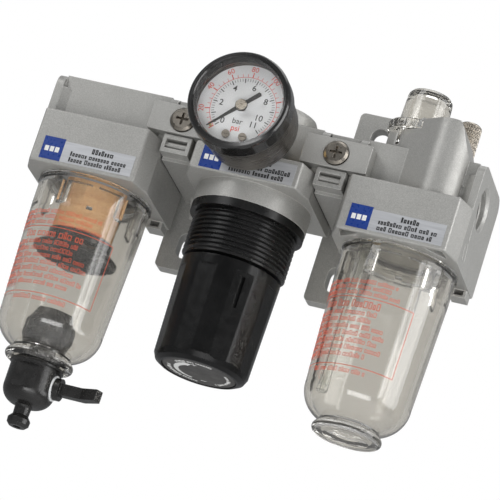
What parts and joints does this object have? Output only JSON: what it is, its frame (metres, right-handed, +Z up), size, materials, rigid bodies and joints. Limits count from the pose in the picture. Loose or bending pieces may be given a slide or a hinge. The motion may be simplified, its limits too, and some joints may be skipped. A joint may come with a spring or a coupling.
{
  "type": "filter regulator lubricator",
  "caption": "Modular air filter, regulator with gauge and lubricator joined in a row by clamped spacer brackets, with clear bowls and drain cock.",
  "frame": {"origin": "centre of the four bracket slots on the wall plane", "axes": "+X from the inlet to the outlet, +Y into the wall, +Z up with the bowls hanging down"},
  "size_m": [0.14, 0.0773, 0.1336],
  "materials": {
    "cast_alloy": "satin die-cast",
    "clear_bowl": "clear polycarbonate",
    "clear_tube": "clear nylon",
    "sintered_tan": "sintered, porous",
    "black_plastic": "satin moulded",
    "grey_plastic": "moulded",
    "bonnet_black": "moulded thread",
    "knob_black": "gloss moulded",
    "disc_grey": "printed disc",
    "rubber_black": "matt",
    "white_washer": "smooth",
    "brass": "machined",
    "aluminium_plate": "machined",
    "spring_steel": "drawn wire",
    "nickel": "nickel plated",
    "gauge_black": "gloss black",
    "gauge_glass": "clear",
    "dial_white": "printed",
    "pointer_black": "matt",
    "label_silver": "foil label",
    "label_blue": "printed film"
  },
  "bodies": {
    "root": {"blue_label_squares": "label_blue", "bonnet": "bonnet_black", "bourdon_tube": "brass", "check_valve_body": "brass", "clamp_hinge_pins": "cast_alloy", "clamp_screws": "nickel", "diaphragm": "rubber_black", "drip_nozzle": "grey_plastic", "filter_baffle": "black_plastic", "filter_deflector": "grey_plastic", "filter_element": "sintered_tan", "filter_head": "cast_alloy", "filter_stud": "black_plastic", "gauge_bezel": "gauge_black", "gauge_case": "gauge_black", "gauge_dial": "dial_white", "gauge_dial_screws": "nickel", "gauge_lens": "gauge_glass", "gauge_movement": "brass", "gauge_port_plug": "nickel", "gauge_stem": "brass", "gauge_stop_pin": "brass", "left_clamp": "cast_alloy", "left_spacer_bracket": "cast_alloy", "lubricator_head": "cast_alloy", "regulating_spring": "spring_steel", "regulator_body": "cast_alloy", "right_clamp": "cast_alloy", "right_spacer_bracket": "cast_alloy", "sight_dome_oring": "rubber_black", "silver_labels": "label_silver", "siphon_filter": "clear_tube", "siphon_tube": "clear_tube", "spacer_gaskets": "rubber_black", "top_cap": "cast_alloy", "top_cap_oring": "rubber_black", "valve_spring": "spring_steel", "venturi_insert": "black_plastic"},
    "spindle": {"spindle": "spring_steel"},
    "knob": {"knob": "knob_black", "knob_disc": "disc_grey"},
    "spring_nut": {"spring_nut": "brass"},
    "valve": {"valve_poppet": "brass", "diaphragm_plate": "aluminium_plate"},
    "filter_bowl_seal": {"filter_bowl_oring": "rubber_black"},
    "filter_bowl": {"filter_bowl": "clear_bowl", "drain_nut": "black_plastic", "drain_gasket": "rubber_black", "drain_body": "black_plastic", "drain_washer": "white_washer"},
    "drain_key": {"drain_key": "black_plastic"},
    "lubricator_bowl_seal": {"lubricator_bowl_oring": "rubber_black"},
    "lubricator_bowl": {"lubricator_bowl": "clear_bowl"},
    "gauge_pointer": {"gauge_pointer": "pointer_black", "gauge_hub": "brass"},
    "sight_dome": {"sight_dome": "clear_bowl"},
    "fill_plug_seal": {"fill_plug_oring": "rubber_black"},
    "fill_plug": {"fill_plug": "nickel"},
    "check_ball": {"check_ball": "spring_steel"}
  },
  "joints": [
    {"name": "spindle_turn", "type": "hinge", "parent": "root", "child": "spindle", "pos_m": [0, -0.03, -0.06], "axis": [0, 0, 1], "range_deg": [0, 2160]},
    {"name": "knob_pull", "type": "slide", "parent": "spindle", "child": "knob", "axis": [0, 0, -1], "range_m": [0, 0.0025]},
    {"name": "nut_travel", "type": "slide", "parent": "root", "child": "spring_nut", "axis": [0, 0, 1], "range_m": [0, 0.006], "deforming": ["regulating_spring"]},
    {"name": "valve_lift", "type": "slide", "parent": "root", "child": "valve", "axis": [0, 0, 1], "range_m": [0, 0.0012], "stiffness_N_per_m": 300, "springref_m": -0.002, "deforming": ["valve_spring", "diaphragm"]},
    {"name": "filter_bowl_travel", "type": "slide", "parent": "root", "child": "filter_bowl_seal", "axis": [0, 0, -1], "range_m": [0, 0.008]},
    {"name": "filter_bowl_turn", "type": "hinge", "parent": "filter_bowl_seal", "child": "filter_bowl", "pos_m": [-0.05, -0.03, -0.045], "axis": [0, 0, -1], "range_deg": [0, 1440]},
    {"name": "drain_key_turn", "type": "hinge", "parent": "filter_bowl", "child": "drain_key", "pos_m": [-0.05, -0.03, -0.086], "axis": [1, 0, 0], "range_deg": [0, 90]},
    {"name": "lubricator_bowl_travel", "type": "slide", "parent": "root", "child": "lubricator_bowl_seal", "axis": [0, 0, -1], "range_m": [0, 0.008]},
    {"name": "lubricator_bowl_turn", "type": "hinge", "parent": "lubricator_bowl_seal", "child": "lubricator_bowl", "pos_m": [0.05, -0.03, -0.045], "axis": [0, 0, -1], "range_deg": [0, 1440]},
    {"name": "pointer_turn", "type": "hinge", "parent": "root", "child": "gauge_pointer", "pos_m": [0, -0.07, 0.0014], "axis": [0, 1, 0], "range_deg": [0, 270], "stiffness_Nm_per_rad": 0.00002, "springref_deg": -28.65},
    {"name": "drip_rate_turn", "type": "hinge", "parent": "root", "child": "sight_dome", "pos_m": [0.0441, -0.03, 0.0195], "axis": [0, 0, 1], "range_deg": [0, 300]},
    {"name": "fill_plug_travel", "type": "slide", "parent": "root", "child": "fill_plug_seal", "axis": [0, 0, 1], "range_m": [0, 0.004]},
    {"name": "fill_plug_turn", "type": "hinge", "parent": "fill_plug_seal", "child": "fill_plug", "pos_m": [0.0569, -0.0225, 0.02], "axis": [0, 0, 1], "range_deg": [0, 1440]},
    {"name": "check_ball_lift", "type": "slide", "parent": "root", "child": "check_ball", "axis": [0, 0, 1], "range_m": [0, 0.002]}
  ],
  "couplings": [
    {"joint": "nut_travel", "follows": "spindle_turn", "m_per_rad": 0.00015915},
    {"joint": "filter_bowl_travel", "follows": "filter_bowl_turn", "m_per_rad": 0.0003183},
    {"joint": "lubricator_bowl_travel", "follows": "lubricator_bowl_turn", "m_per_rad": 0.0003183},
    {"joint": "fill_plug_travel", "follows": "fill_plug_turn", "m_per_rad": 0.00015915}
  ]
}
